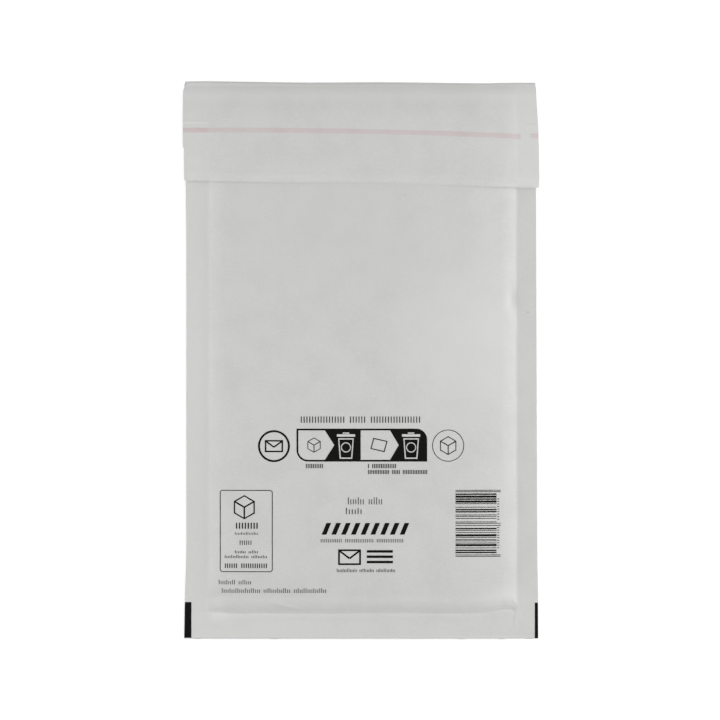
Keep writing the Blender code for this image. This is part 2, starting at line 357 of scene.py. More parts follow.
def flap_place(x, distance):
    """Where a point this far along the flap lies, counted at the flap's middle."""
    length = FLAP_LENGTH + FLAP_SKEW * x / WIDTH + LIP_DROOP * smooth_step(x - 0.02, 0.045)
    wave = 0.00025 * math.sin(x * 70 + 1.0) * smooth_step(distance - FLAP_LENGTH / 2, FLAP_LENGTH / 2)
    y = HEIGHT - distance * length / FLAP_LENGTH + wave
    at_fold = fold_span(x) - panel_lift(x, HEIGHT)
    over_front = FILM + PAD * flap_loft(x) + LINING_TO_PAPER + PAPER + STRIPS
    stiff = PAD * (flap_loft(x) - side_loft(x))
    lip = (STRIPS - LIP_GAP + stiff * 0.7) * smooth_step(distance - (FLAP_LENGTH - LIP), LIP)
    from_fold = distance - FOLD_DEPTH
    climb = (1 - ROLL_SHARE) * ease(from_fold, MOUTH_DROP - FLAP_REST - FOLD_DEPTH)
    climb += ROLL_SHARE * ease(from_fold, ROLL_RUN)
    waves = 0.00008 * climb * (noise.noise(Vector((x, distance, 11.0)) * 45) + 0.5)
    height = MIDDLE + at_fold + (over_front - at_fold) * climb - lip + waves
    return Vector((flap_across(x, distance), y, height))


print("flap's middle height:", round(flap_place(0.0, FLAP_LENGTH / 2).z, 5))

# %% [markdown]
# ## A helper that lays a sheet
#
# Blender's grid operator makes a flat grid, and each of its points is then sent to its row's place. The
# sheet also gets a map of its own, in metres on the flat sheet, so that its grain and its marks follow
# the paper round the folds. A small solidify turns it into a closed skin with a real thickness, and only
# the cut edges are kept sharp.

# %% Write the sheet helpers
SHARP_EDGE = math.radians(50)


def lay_sheet(bm, across, rows):
    """Lays a grid on rows of (distance along the flat sheet, function from x to a point)."""
    last_column = len(across) - 1
    last_row = len(rows) - 1
    bmesh.ops.create_grid(bm, x_segments=last_column, y_segments=last_row, size=0.5)
    flat = bm.loops.layers.uv.new("flat_sheet")
    places = {}
    for vert in bm.verts:
        column = round((vert.co.x + 0.5) * last_column)
        row = round((vert.co.y + 0.5) * last_row)
        places[vert.index] = (across[column], rows[row][0])
        vert.co = rows[row][1](across[column])
    for face in bm.faces:
        for loop in face.loops:
            loop[flat].uv = places[loop.vert.index]


def give_thickness(bm, thickness):
    """Turns an open sheet, which lies in the middle of its paper, into a closed skin."""
    bm.normal_update()
    for vert in bm.verts:
        vert.co += vert.normal * thickness / 2
    bmesh.ops.solidify(bm, geom=bm.faces[:], thickness=thickness)
    bm.normal_update()
    for face in bm.faces:
        face.smooth = True
    for edge in bm.edges:
        edge.smooth = edge.is_manifold and edge.calc_face_angle(0.0) < SHARP_EDGE


def finish_piece(name, bm, finish):
    """Turns a bmesh drawn from the bottom fold up into a piece of the envelope, centred on the origin."""
    bmesh.ops.translate(bm, verts=bm.verts, vec=(0, -HEIGHT / 2, 0))
    mesh = bpy.data.meshes.new(name)
    bm.to_mesh(mesh)
    bm.free()
    mesh.materials.append(finish)
    piece = bpy.data.objects.new(name, mesh)
    bpy.context.scene.collection.objects.link(piece)
    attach(piece, "root")
    triangles = sum(len(face.vertices) - 2 for face in mesh.polygons)
    print(name, "has", triangles, "triangles")
    return piece


# %% [markdown]
# ## White mailer paper
#
# Mailer paper is matt, a little grey, and made of short fibres. Its colour is a neutral pale grey with
# three kinds of change on it: soft clouds where the pulp is thicker, fine grain, and short fibres that lie
# mostly along the sheet. The jaws that weld the side seals press the paper flat, and the seal margins are
# made a little paler and warmer. All of it is drawn on the flat sheet's own map, so it runs round the
# folds.

# %% Write the node helpers
def new_finish(name, colour, roughness):
    """A material with its shader, and the node tree to build on."""
    finish = bpy.data.materials.new(name)
    finish.use_nodes = True
    shader = finish.node_tree.nodes["Principled BSDF"]
    shader.inputs["Base Color"].default_value = (*colour, 1.0)
    shader.inputs["Roughness"].default_value = roughness
    return finish, finish.node_tree, shader


def node(tree, kind, **settings):
    made = tree.nodes.new(kind)
    for name, value in settings.items():
        setattr(made, name, value)
    return made


def join(output, socket):
    """Links a node's output to a socket, in the node tree that both belong to."""
    output.id_data.links.new(output, socket)


def maths(operation, *values):
    """One sum on numbers and other nodes' outputs."""
    tree = next(value.id_data for value in values if not isinstance(value, (int, float)))
    made = node(tree, "ShaderNodeMath", operation=operation)
    for socket, value in zip(made.inputs, values):
        if isinstance(value, (int, float)):
            socket.default_value = value
        else:
            join(value, socket)
    return made.outputs["Value"]


def times(first, second):
    return maths("MULTIPLY", first, second)


def less(first, second):
    return maths("SUBTRACT", first, second)


def ramp_between(value, low, high):
    """0 below low, 1 above high, and smooth in between."""
    made = node(value.id_data, "ShaderNodeMapRange", interpolation_type="SMOOTHSTEP")
    join(value, made.inputs["Value"])
    made.inputs["From Min"].default_value = low
    made.inputs["From Max"].default_value = high
    return made.outputs["Result"]


def band(value, low, high, soft):
    """1 between low and high, with edges this soft."""
    above = ramp_between(value, low - soft, low + soft)
    below = less(1.0, ramp_between(value, high - soft, high + soft))
    return times(above, below)


def tint(base, colour, share):
    """Lays a colour over another, as strongly as share says."""
    made = node(share.id_data, "ShaderNodeMix", data_type="RGBA")
    made.clamp_factor = True
    join(share, made.inputs[0])
    if isinstance(base, tuple):
        made.inputs[6].default_value = (*base, 1.0)
    else:
        join(base, made.inputs[6])
    made.inputs[7].default_value = (*colour, 1.0)
    return made.outputs[2]


def speckle(place, size, detail=2.0, stretch=(1.0, 1.0, 1.0)):
    """Noise whose patches are about this many metres across."""
    mapping = node(place.id_data, "ShaderNodeMapping")
    mapping.inputs["Scale"].default_value = stretch
    join(place, mapping.inputs["Vector"])
    made = node(place.id_data, "ShaderNodeTexNoise")
    made.inputs["Scale"].default_value = 1.0 / size
    made.inputs["Detail"].default_value = detail
    join(mapping.outputs["Vector"], made.inputs["Vector"])
    return made.outputs["Fac"]


def give_bump(shader, height, depth):
    """Lets a pattern of heights from 0 to 1 stand this many metres deep."""
    made = node(height.id_data, "ShaderNodeBump")
    made.inputs["Strength"].default_value = 1.0
    made.inputs["Distance"].default_value = depth
    join(height, made.inputs["Height"])
    join(made.outputs["Normal"], shader.inputs["Normal"])


print("node helpers ready")

# %% [markdown]
# ## The paper's grain and margins
#
# Each colour is laid over the last one by a share from 0 to 1. The clouds, the grain and the fibres come
# first, and then the margins and the bottom seal, which are made paler. Distances along the flat sheet
# start at the front panel's mouth edge.

# %% Mix the grain and the margins
PAPER_COLOUR = (0.581, 0.581, 0.572)
PALER_COLOUR = (0.642, 0.644, 0.627)
HIGHLIGHT_COLOUR = (0.640, 0.641, 0.638)
CLOUD_AND_SHADE_COLOUR = (0.540, 0.541, 0.536)
TAPE_COLOUR = (0.515, 0.352, 0.365)
MARK_AND_SHADE_COLOUR = (0.430, 0.430, 0.420)

FOLD_ARC = 0.004  # what the flap's fold takes up on the flat sheet
BACK_END = MOUTH + HEIGHT - FOLD_DEPTH
FLAP_START = BACK_END + FOLD_ARC
FLAP_EDGE = 0.0005  # over twice this length the finish of the flap takes over

white_paper, tree, shader = new_finish("mailer_paper", PAPER_COLOUR, 0.82)
shader.inputs["Specular IOR Level"].default_value = 0.25
sheet_map = node(tree, "ShaderNodeUVMap", uv_map="flat_sheet").outputs["UV"]
split = node(tree, "ShaderNodeSeparateXYZ")
join(sheet_map, split.inputs["Vector"])
sheet_x = split.outputs["X"]
sheet_y = split.outputs["Y"]

clouds = speckle(sheet_map, 0.0120, 4.0)
grain = speckle(sheet_map, 0.0006, 3.0)
fibres = speckle(sheet_map, 0.0010, 3.0, (0.45, 1.0, 1.0))
cloud_share = times(ramp_between(clouds, 0.35, 0.75), 0.75)
grain_share = times(ramp_between(grain, 0.42, 0.78), 0.28)
fibre_share = times(ramp_between(fibres, 0.45, 0.80), 0.30)
colour = tint(PAPER_COLOUR, CLOUD_AND_SHADE_COLOUR, cloud_share)
colour = tint(colour, MARK_AND_SHADE_COLOUR, grain_share)
colour = tint(colour, PALER_COLOUR, fibre_share)

on_flap = ramp_between(sheet_y, FLAP_START - FLAP_EDGE, FLAP_START + FLAP_EDGE)
left_edge = ramp_between(sheet_x, SEAM_LEFT - 0.0006, SEAM_LEFT + 0.0012)
left_margin = less(1.0, left_edge)
right_margin = ramp_between(sheet_x, SEAM_RIGHT - 0.0012, SEAM_RIGHT + 0.0006)
# The margins are made paler, unevenly: the left one on the body and the flap, the right one only on the
# flap, and the bottom seal most at its left end.
right_share = times(times(right_margin, on_flap), 0.50)
left_share = times(left_margin, maths("MULTIPLY_ADD", on_flap, -0.06, 0.34))
below_crease = band(sheet_y, MOUTH - SEAL_BOTTOM + 0.0012, MOUTH, 0.0006)
to_the_left = less(1.0, ramp_between(sheet_x, -0.055, 0.015))
below_share = times(below_crease, maths("MULTIPLY_ADD", to_the_left, 0.40, 0.12))
paler_margins = maths("MAXIMUM", maths("ADD", left_share, right_share), below_share)
uneven = maths("MULTIPLY_ADD", clouds, 1.6, 0.20)
colour = tint(colour, PALER_COLOUR, times(paler_margins, uneven))
print("the flap's finish starts", round(FLAP_START, 4), "m along the sheet")

# %% [markdown]
# ## Painted highlights, painted shade and small scars
#
# Highlights are painted paler where the pad swells towards the light, where a crease turns the paper up,
# along the bottom fold, on the left margin and just below the flap's fold. Shade is painted darker on the
# upper body under the flap, in the crease, along the flap's fold and in the dent at the right seam, and a
# scratch and two specks are real dark marks. Each of these is a soft spot or a narrow band on the flat
# sheet. A glue line shows faintly on the flap's margins.

# %% Lay the painted highlights, the painted shade and the marks
GLUE_FROM_FLAP = 0.0145  # the glue line's distance from the flap's start, and its slant
GLUE_SLANT = 0.0031


def patch(x, y, reach_x, reach_y, share):
    """A soft spot on the sheet, as strong as its share in the middle."""
    aside = times(less(sheet_x, x), 1 / reach_x)
    along = times(less(sheet_y, y), 1 / reach_y)
    away = maths("MULTIPLY_ADD", aside, aside, times(along, along))
    fade = less(1.0, ramp_between(maths("SQRT", away), 0.0, 1.0))
    return times(fade, share)


margins = maths("ADD", left_margin, ramp_between(sheet_x, 0.0645, 0.0675))
glue_height = maths("MULTIPLY_ADD", sheet_x, GLUE_SLANT, FLAP_START + GLUE_FROM_FLAP)
glue_place = less(sheet_y, glue_height)
glue_line = times(band(glue_place, -0.0005, 0.0002, 0.0003), margins)
colour = tint(colour, MARK_AND_SHADE_COLOUR, times(glue_line, 0.16))
pale_line = times(band(glue_place, 0.0004, 0.0013, 0.0003), left_margin)
colour = tint(colour, PALER_COLOUR, times(pale_line, 0.6))
# Painted highlights: paler spots where the bottom corners and the crease's ends turn up towards the light,
# along the bottom fold and above the crease, on the pad's right half, on the left margin and on the flap
# below its fold.
corner_highlight = patch(0.0570, MOUTH - 0.0155, 0.0150, 0.0080, 0.75)
dot_highlight = patch(-0.0606, MOUTH - 0.0099, 0.0008, 0.0008, 1.0)
wedge_highlight = patch(-0.0567, MOUTH - 0.0085, 0.0055, 0.0030, 0.8)
tail_highlight = patch(-0.0550, MOUTH - 0.0070, 0.0070, 0.0032, 0.6)
hem_highlight = times(band(sheet_y, MOUTH - 0.0006, MOUTH + 0.0006, 0.0004), 0.7)
bulge_highlight = patch(0.0400, MOUTH - 0.1210, 0.0360, 0.0560, 0.60)
side_highlight = patch(-0.0655, MOUTH - 0.1100, 0.0090, 0.0600, 0.30)
margin_highlight = patch(-0.0655, FLAP_START + 0.0310, 0.0060, 0.0045, 0.35)
start_highlight = patch(-0.0570, MOUTH - 0.0142, 0.0070, 0.0034, 0.5)
above_crease = band(sheet_y, MOUTH - 0.0168, MOUTH - 0.0130, 0.0022)
between_margins = band(sheet_x, SEAM_LEFT + 0.0020, SEAM_RIGHT - 0.0060, 0.0020)
rise_highlight = times(times(above_crease, between_margins), 0.28)
bottom_highlights = (corner_highlight, dot_highlight, wedge_highlight, tail_highlight, hem_highlight, start_highlight, rise_highlight)
roll_highlight = patch(0.0, FLAP_START + 0.0026, 1.0, 0.0060, 0.55)  # the flap just below its fold
for spot in (*bottom_highlights, bulge_highlight, side_highlight, margin_highlight, roll_highlight):
    colour = tint(colour, HIGHLIGHT_COLOUR, spot)

# Painted shade: the upper body is darkened under the flap. The body's right margin is made darker as well.
shaded_top = patch(-0.0050, MOUTH - 0.1650, 0.0800, 0.0600, 0.40)
off_flap = less(1.0, on_flap)
right_side = times(times(right_margin, off_flap), 0.30)
for shade in (shaded_top, right_side):
    colour = tint(colour, CLOUD_AND_SHADE_COLOUR, shade)

# The scratch and the two specks are real marks. The dent at the right seam, the flap's fold and the bottom
# crease get painted shade.
scratch = patch(0.0663, MOUTH - 0.1291, 0.0014, 0.0004, 1.0)
speck = patch(0.0173, MOUTH - 0.1753, 0.0006, 0.0006, 0.75)
small_speck = patch(-0.0246, MOUTH - 0.1781, 0.0005, 0.0005, 0.65)
dent_shade = patch(0.0606, MOUTH - 0.1350, 0.0022, 0.0060, 0.24)
fold_shade_band = band(less(sheet_y, BACK_END), 0.0018, 0.0030, 0.0003)
crease_shade_band = band(less(sheet_y, MOUTH - SEAL_BOTTOM), 0.0009, 0.0014, 0.0003)
crease_span = band(sheet_x, SEAM_LEFT + 0.0005, SEAM_RIGHT - 0.0010, 0.0010)
fold_shade = times(fold_shade_band, 0.34)
inner_fold_shade_band = band(less(sheet_y, BACK_END), 0.0030, 0.0037, 0.0003)
fold_middle = band(sheet_x, -0.0250, 0.0520, 0.0120)
inner_fold_shade = times(times(inner_fold_shade_band, fold_middle), 0.28)
crease_shade = times(times(crease_shade_band, crease_span), 0.32)
for mark in (scratch, speck, small_speck, dent_shade, fold_shade, inner_fold_shade, crease_shade):
    colour = tint(colour, MARK_AND_SHADE_COLOUR, mark)
print("spots and lines laid over the grain")

# %% [markdown]
# ## The tape's line through the paper
#
# A pink tear tape is bonded under the flap, and the thin paper lets its colour through: strongest on the
# left margin, where the paper is pressed onto it, paler along the middle, and gone for a few millimetres
# where the right seal starts. The line is part of the paper's finish, not of the tape's.

# %% Draw the tape's line
TAPE_FROM_FOLD = 0.0198
TAPE_SLANT = 0.0105
TAPE_BOW = 0.138
TAPE_HALF = 0.00095
TAPE_END_RISE = 0.0005  # past its gap the line runs this much higher

tape_slope =maths("MULTIPLY_ADD", sheet_x, TAPE_BOW, TAPE_SLANT)
tape_place = maths("MULTIPLY_ADD", sheet_x, tape_slope, FLAP_START + TAPE_FROM_FOLD - FOLD_DEPTH)
end_rise = times(ramp_between(sheet_x, 0.0645, 0.0660), TAPE_END_RISE)
from_tape = maths("ADD", less(sheet_y, tape_place), end_rise)
tape_line = band(from_tape, -TAPE_HALF, TAPE_HALF, 0.00022)
strength = maths("MULTIPLY_ADD", left_margin, 0.16, 0.37)
strength = times(strength, maths("MULTIPLY_ADD", clouds, 1.3, 0.35))
gap = band(sheet_x, 0.0630, 0.0668, 0.0005)
strength = times(strength, less(1.0, gap))
colour = tint(colour, TAPE_COLOUR, times(tape_line, strength))

join(colour, shader.inputs["Base Color"])
relief = maths("ADD", times(clouds, 0.6), times(fibres, 0.4))
relief = maths("ADD", relief, times(grain, 0.25))
give_bump(shader, relief, 0.00005)
print("paper finish has", len(tree.nodes), "nodes")

# %% [markdown]
# ## The outer paper
#
# The sheet starts at the hidden mouth edge of the front panel and ends at the flap's lip. Columns are
# close together near the side seams, where the paper bends, and rows near the bottom crease and the
# folds.

# %% Lay the outer paper
BEND = 0.006  # beside a seam, where the paper bends most
BOTTOM_EDGE = 0.0012  # the panels' rows stop this far above the bottom fold
FLAP_LEVEL = 0.0158  # the flap has finished climbing this far from its fold


def runs(first, *legs):
    """Places from the first one on, along legs of (last place, number of steps)."""
    places = [first]
    for last, count in legs:
        places += steps(places[-1], last, count)[1:]
    return places


left_columns = runs(-WIDTH / 2, (SEAM_LEFT, 8), (SEAM_LEFT + BEND, 11), (SEAM_LEFT + GENTLE_RUN, 13))
right_legs = ((SEAM_RIGHT - GENTLE_RUN, 50), (SEAM_RIGHT - BEND, 16), (SEAM_RIGHT, 13), (WIDTH / 2, 10))
sheet_columns = left_columns[:-1] + runs(left_columns[-1], *right_legs)
front_heights = runs(MOUTH, (0.140, 46), (0.125, 17), (0.026, 70), (0.0166, 12))
front_heights += runs(front_heights[-1], (SEAL_BOTTOM, 15), (0.0086, 8), (BOTTOM_EDGE, 8))[1:]
back_heights = runs(BOTTOM_EDGE, (SEAL_BOTTOM, 6), (0.030, 13), (HEIGHT - FOLD_DEPTH, 58))
flap_distances = runs(FOLD_DEPTH, (FLAP_LEVEL, 20), (FLAP_LENGTH - LIP, 18), (FLAP_LENGTH, 7))

sheet_rows = [(MOUTH - y, lambda x, y=y: front_place(x, y)) for y in front_heights]
for turn in steps(0.0, math.pi, 10):
    sheet_rows.append((MOUTH, lambda x, turn=turn: bottom_fold_place(x, turn)))
sheet_rows += [(MOUTH + y, lambda x, y=y: back_place(x, y)) for y in back_heights]
for turn in steps(0.0, math.pi, 14)[1:-1]:
    along = BACK_END + FOLD_ARC * turn / math.pi
    sheet_rows.append((along, lambda x, turn=turn: flap_fold_place(x, turn)))
for distance in flap_distances:
    along = FLAP_START + distance - FOLD_DEPTH
    sheet_rows.append((along, lambda x, distance=distance: flap_place(x, distance)))

bm = bmesh.new()
lay_sheet(bm, sheet_columns, sheet_rows)
give_thickness(bm, PAPER)
outer_paper = finish_piece("mailer_paper", bm, white_paper)
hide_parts("outer_paper")

# %% [markdown]
# ## The bubble film
#
# The lining is one web of bubble film, folded at the bottom like the paper and welded along both sides
# and the bottom. Its round bubbles face into the pouch. Here each one is a smooth dome on a honeycomb,
# raised from the same kind of sheet, and it fades out near the seals where the heat has flattened it.

# %% Make the film's finish
clear_film, tree, shader = new_finish("hazy_film", (0.85, 0.87, 0.88), 0.22)
film_map = node(tree, "ShaderNodeTexCoord").outputs["Object"]
haze = ramp_between(speckle(film_map, 0.004, 2.0), 0.3, 0.7)
join(tint((0.80, 0.83, 0.85), (0.90, 0.915, 0.92), haze), shader.inputs["Base Color"])
shader.inputs["Transmission Weight"].default_value = 0.55
shader.inputs["IOR"].default_value = 1.5
give_bump(shader, speckle(film_map, 0.0022, 3.0), 0.00003)

# %% Blow the bubbles
BUBBLE_PITCH = 0.0122
BUBBLE_RADIUS = 0.0050
FILM_SKIN = 0.00018
FILM_SHRINK = 0.0012
FILM_PRESS = 0.65  # the bottom crease presses the film by this share of its own depth


def bubble_height(x, y):
    """Height of the dome over the flat film, on a honeycomb of round bubbles."""
    row_pitch = BUBBLE_PITCH * math.sqrt(3) / 2
    best = 1.0
    first = math.floor((y - SEAL_BOTTOM) / row_pitch)
    for row in (first, first + 1):
        shift = BUBBLE_PITCH / 2 * (row % 2)
        column = round((x - SEAM_LEFT - shift) / BUBBLE_PITCH)
        centre_x = SEAM_LEFT + shift + column * BUBBLE_PITCH
        centre_y = SEAL_BOTTOM + row * row_pitch
        away = math.hypot(x - centre_x, y - centre_y) / BUBBLE_RADIUS
        best = min(best, away)
    return BUBBLE_HEIGHT * math.sqrt(max(0.0, 1 - best**4))


def film_place(x, y, side):
    """A point of the film: side is 1 on the front wall and -1 on the back wall."""
    share = min(loft(x, y), ease(min(x - SEAM_LEFT, SEAM_RIGHT - x), RISE) * ease(y - SEAL_BOTTOM, RISE))
    lift = FILM / 2 + (PAD + FILM / 2) * share - bubble_height(x, y) * share * share
    edge = 1 - FILM_SHRINK / (WIDTH / 2)
    along = y + crease_shift(x) * follow_crease(y) if side > 0 else y
    height = MIDDLE + side * lift - FILM_PRESS * crease_hollow(x, y)
    return Vector((drawn_in(x, y) * edge, along, height))


film_columns = runs(-WIDTH / 2, (SEAM_LEFT, 4), (SEAM_RIGHT, 92), (WIDTH / 2, 4))
front_film = runs(MOUTH, (SEAL_BOTTOM, 144), (BOTTOM_EDGE, 16))
back_film = runs(BOTTOM_EDGE, (SEAL_BOTTOM, 16), (HEIGHT - FOLD_DEPTH - CLEARANCE, 154))
film_rows = [(MOUTH - y, lambda x, y=y: film_place(x, y, 1)) for y in front_film]
film_rows.append((MOUTH, lambda x: Vector((drawn_in(x, 0.0), PAPER + CLEARANCE + FILM, MIDDLE))))
film_rows += [(MOUTH + y, lambda x, y=y: film_place(x, y, -1)) for y in back_film]

bm = bmesh.new()
lay_sheet(bm, film_columns, film_rows)
give_thickness(bm, FILM_SKIN)
bubble_film = finish_piece("bubble_film", bm, clear_film)
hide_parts("bubble_lining")

# %% [markdown]
# ## The strips under the flap
#
# The tear tape, the adhesive and its release liner keep their solids, which have the right shape, and
# get finishes of their own: streaked pink plastic, a tacky pale yellow, and a smooth coated paper.

# %% Finish the strips
def node_object(name):
    """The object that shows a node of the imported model."""
    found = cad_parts[name]
    return found if isinstance(found, bpy.types.Object) else bpy.data.objects[name]


def refinish(name, finish):
    shown = node_object(name)
    if not shown.material_slots:
        shown.data.materials.append(finish)
    for place in shown.material_slots:
        place.material = finish
    print(name, "is finished with", finish.name)


def strip_finish(name, base, roughness, dark, light, depth, *pattern):
    """A finish that varies between two colours, in a pattern of this size, detail and stretch."""
    finish, tree, shader = new_finish(name, base, roughness)
    place = node(tree, "ShaderNodeTexCoord").outputs["Object"]
    marks = speckle(place, *pattern)
    mixed = tint(dark, light, ramp_between(marks, 0.3, 0.7))
    join(mixed, shader.inputs["Base Color"])
    give_bump(shader, marks, depth)
    return finish


pink = (0.75, 0.16, 0.22)
deep_pink = (0.66, 0.12, 0.18)
light_pink = (0.82, 0.26, 0.31)
streaks = (0.003, 3.0, (0.1, 3.0, 1.0))
pink_tape = strip_finish("streaked_pink_tape", pink, 0.35, deep_pink, light_pink, 0.00002, *streaks)
refinish("tear_tape", pink_tape)

yellow = (0.78, 0.72, 0.52)
deep_yellow = (0.72, 0.65, 0.43)
light_yellow = (0.84, 0.79, 0.62)
tacky = strip_finish("tacky_adhesive", yellow, 0.3, deep_yellow, light_yellow, 0.00006, 0.0018, 4.0)
refinish("adhesive_strip", tacky)

grey = (0.80, 0.82, 0.84)
deep_grey = (0.77, 0.79, 0.81)
light_grey = (0.83, 0.85, 0.87)
coating = (0.005, 3.0, (0.4, 1.0, 1.0))
coated = strip_finish("coated_liner", grey, 0.28, deep_grey, light_grey, 0.00002, *coating)
refinish("release_liner", coated)

# %% [markdown]
# ## Black ink
#
# The print is one dense black ink on rough paper, so its edges are crisp and its surface a little less
# matt than the paper, with the grain showing through as tiny paler specks.

# %% Make the ink's finish
INK_LIFT = 0.00003  # the ink lies this far over the paper
INK_SKIN = 0.00002
DRAPE_STEP = 0.0022  # ink is cut this fine, so that it can follow the paper

black_ink, tree, shader = new_finish("black_ink", (0.0025, 0.0025, 0.0023), 0.55)
shader.inputs["Specular IOR Level"].default_value = 0.045
ink_place = node(tree, "ShaderNodeTexCoord").outputs["Object"]
ink_grain = speckle(ink_place, 0.00035, 2.0)
specks = ramp_between(ink_grain, 0.55, 0.85)
join(tint((0.0022, 0.0022, 0.0020), (0.014, 0.014, 0.013), specks), shader.inputs["Base Color"])
give_bump(shader, ink_grain, 0.00002)
print("ink finish has", len(tree.nodes), "nodes")


# %% [markdown]
# ## Shapes to print
#
# Every printed shape is a flat outline: a bar, a ring, a frame or a polygon, with or without holes. The
# outlines are filled in the plane, cut along a fine grid, and only then laid on the front panel, so that
# they bend with it. The print is generic: rows of plain ticks, and simple drawings of a letter, a box
# and a bin.

# %% Write the printing helpers
def on_front(x, y):
    """Height of the front panel's upper side at a place counted from the envelope's middle."""
    wanted = Vector((x, y + HEIGHT / 2))
    flat = wanted.copy()
    for _ in range(3):
        flat += wanted - front_place(flat.x, flat.y).xy
    return front_place(flat.x, flat.y).z + PAPER / 2


def bar(left, right, top, bottom):
    """The four corners of a bar, from the bottom left one round to the top left one."""
    return [(left, bottom), (right, bottom), (right, top), (left, top)]


def circle(x, y, radius, segments=48):
    """The points of a circle, from the circle operator."""
    drawn = bmesh.new()
    centre = Matrix.Translation((x, y, 0))
    made = bmesh.ops.create_circle(drawn, cap_ends=True, segments=segments, radius=radius, matrix=centre)
    points = [vert.co.xy[:] for vert in made["verts"]]
    drawn.free()
    return points


def rounded(points, radii):
    """The same outline with some of its corners rounded off, from the bevel operator."""
    drawn = bmesh.new()
    corners = [drawn.verts.new((x, y, 0.0)) for x, y in points]
    drawn.faces.new(corners)
    for corner, radius in zip(corners, radii):
        if radius:
            bmesh.ops.bevel(drawn, geom=[corner], offset=radius, affect="VERTICES", segments=7, profile=0.5)
    drawn.faces.ensure_lookup_table()
    smooth = [vert.co.xy[:] for vert in drawn.faces[0].verts]
    drawn.free()
    return smooth


def print_shape(bm, *outlines):
    """Inks the space inside the first outline and outside the others."""
    edges = []
    for points in outlines:
        corners = [bm.verts.new((x, y, 0.0)) for x, y in points]
        edges += [bm.edges.new(pair) for pair in zip(corners, corners[1:] + corners[:1])]
    bmesh.ops.triangle_fill(bm, use_beauty=True, edges=edges)


def print_line(bm, start, end, weight):
    """A straight line of this weight between two points."""
    run = Vector(end) - Vector(start)
    aside = Vector((-run.y, run.x)).normalized() * weight / 2
    corners = [Vector(start) - aside, Vector(end) - aside, Vector(end) + aside, Vector(start) + aside]
    print_shape(bm, [corner[:] for corner in corners])


def cut_fine(bm):
    """Cuts every shape along a grid, so that long ones can bend."""
    for axis, normal in ((0, Vector((1, 0, 0))), (1, Vector((0, 1, 0)))):
        low = min(vert.co[axis] for vert in bm.verts)
        high = max(vert.co[axis] for vert in bm.verts)
        for at in steps(low, high, max(1, math.ceil((high - low) / DRAPE_STEP)))[1:-1]:
            everything = bm.verts[:] + bm.edges[:] + bm.faces[:]
            bmesh.ops.bisect_plane(bm, geom=everything, dist=1e-7, plane_co=normal * at, plane_no=normal)


def lay_print(name, bm):
    """Lays flat ink on the front panel and makes it a piece."""
    cut_fine(bm)
    bm.normal_update()
    bmesh.ops.reverse_faces(bm, faces=[face for face in bm.faces if face.normal.z < 0])
    for vert in bm.verts:
        height = on_front(vert.co.x, vert.co.y) + INK_LIFT
        vert.co = Vector((vert.co.x, vert.co.y + HEIGHT / 2, height))
    bm.normal_update()
    bmesh.ops.solidify(bm, geom=bm.faces[:], thickness=INK_SKIN)
    return finish_piece(name, bm, black_ink)


print("front panel's height under the print:", round(on_front(0.0, -0.033), 5))

# %% [markdown]
# ## Register marks
#
# Two black blocks stand at the bottom corners, where the printed web was cut and folded.

# %% Print the register marks
bm = bmesh.new()
print_shape(bm, [(-0.0699, -0.1096), (-0.0671, -0.1096), (-0.0671, -0.0955), (-0.06965, -0.0955)])
print_shape(bm, [(0.0686, -0.1098), (0.0699, -0.1098), (0.0698, -0.0957), (0.0686, -0.0957)])
lay_print("print_register_marks", bm)

# %% [markdown]
# ## The sorting band
#
# The largest print is a black band with two pale pointed fields and two pale bins. All of these are
# holes in the ink, through which the paper shows. Two of the band's corners are rounded.

# %% Print the sorting band
BAND_TOP = -0.0269
BAND_BOTTOM = -0.0399
BORDER = 0.0007
BAND_MIDDLE = (BAND_TOP + BAND_BOTTOM) / 2
BINS = (-0.0060, 0.0197)  # their middles, across the band


def pale_field(left, right, tip):
    """A pale field that points to the right."""
    top = BAND_TOP - BORDER
    bottom = BAND_BOTTOM + BORDER
    return [(left, bottom), (right, bottom), (tip, BAND_MIDDLE), (right, top), (left, top)]


def bin_body(x, inset):
    """A bin's body, which narrows downwards, made smaller all round by the inset."""
    foot = 0.0025 - inset
    rim = 0.0031 - inset
    top = -0.0307 - inset
    bottom = -0.0388 + inset
    return [(x - foot, bottom), (x + foot, bottom), (x + rim, top), (x - rim, top)]


bm = bmesh.new()
band_outline = rounded(bar(-0.0255, 0.0260, BAND_TOP, BAND_BOTTOM), (0.0045, 0.0, 0.0043, 0.0))
first_field = rounded(pale_field(-0.0248, -0.0143, -0.0106), (0.0038, 0.0, 0.0, 0.0, 0.0))
second_field = pale_field(-0.0002, 0.0114, 0.0148)
bin_holes = []
for x in BINS:
    lid = bar(x - 0.0036, x + 0.0036, -0.0291, -0.0301)
    knob = bar(x - 0.0013, x + 0.0013, -0.0284, -0.0289)
    bin_holes += [lid, knob, bin_body(x, 0.0)]
print_shape(bm, band_outline, first_field, second_field, *bin_holes)
for x in BINS:
    print_shape(bm, bin_body(x, 0.0005), circle(x, -0.0343, 0.0020))
    print_shape(bm, circle(x, -0.0343, 0.0016))
lay_print("print_sorting_band", bm)

# %% [markdown]
# ## Small drawings
#
# A carton in line, seen from a corner, is a hexagon with three spokes. A sheet is a slanted frame, and a
# letter is a frame with a V. They stand in the pale fields, in the rings beside the band, and in the
# framed box at the lower left.

# %% Print the drawings
LEFT_RING = (-0.0344, -0.0338)
RIGHT_RING = (0.0343, -0.0336)
RING_RADIUS = 0.0063


def print_carton(bm, x, y, size, weight):
    """A carton in line, this far from its middle to each corner."""
    angles = [math.radians(60 * k) for k in range(6)]
    corners = [(x + size * math.sin(angle), y + size * math.cos(angle)) for angle in angles]
    smaller = 1 - weight / size
    inner = [(x + (cx - x) * smaller, y + (cy - y) * smaller) for cx, cy in corners]
    print_shape(bm, corners, inner)
    for k in (1, 3, 5):
        print_line(bm, (x, y), inner[k], weight)


